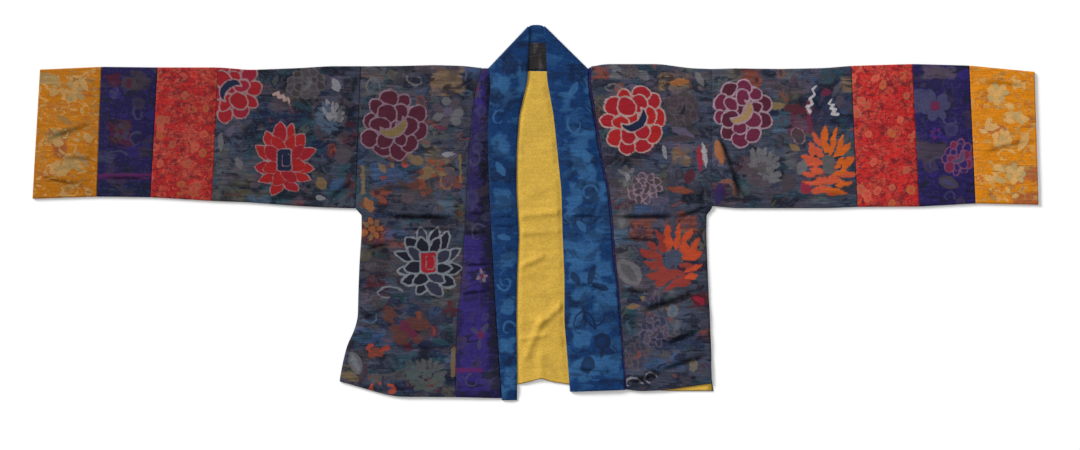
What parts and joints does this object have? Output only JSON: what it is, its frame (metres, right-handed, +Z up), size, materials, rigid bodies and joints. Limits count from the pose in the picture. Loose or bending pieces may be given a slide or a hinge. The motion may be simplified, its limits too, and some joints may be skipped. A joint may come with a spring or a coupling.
{
  "type": "short tibetan chuba robe, laid flat",
  "caption": "Short open-fronted Tibetan robe of figured silk, laid flat with its front up: banded sleeves spread, a folded collar band and a lining in the opening.",
  "frame": {"origin": "on the plane that the robe lies on, under the middle of its box", "axes": "+X along the spread sleeves towards the wearer's left cuff, +Y from hem to neck, +Z up through the layers, front of the garment up"},
  "size_m": [1.608, 0.6001, 0.0073],
  "materials": {
    "brocade": "dark slate silk brocade with large woven flowers, soft sheen",
    "red_brocade": "red silk brocade with a small scroll and rosettes",
    "purple_brocade": "deep purple silk with a faint scroll",
    "gold_brocade": "orange gold silk brocade with pale metal thread",
    "collar_damask": "blue silk damask with a tone on tone vine",
    "lining_silk": "plain yellow silk, matt with fine wrinkles",
    "neck_facing": "dark brown cloth, matt"
  },
  "bodies": {
    "root": {"back": "brocade", "back_lining": "lining_silk", "front_right": "brocade", "front_left": "brocade", "front_strip_right": "purple_brocade", "front_strip_left": "purple_brocade", "collar": "collar_damask", "collar_facing": "neck_facing", "sleeve_right": "brocade", "sleeve_left": "brocade", "red_band_right": "red_brocade", "red_band_left": "red_brocade", "purple_band_right": "purple_brocade", "purple_band_left": "purple_brocade", "cuff_right": "gold_brocade", "cuff_left": "gold_brocade"}
  },
  "joints": []
}
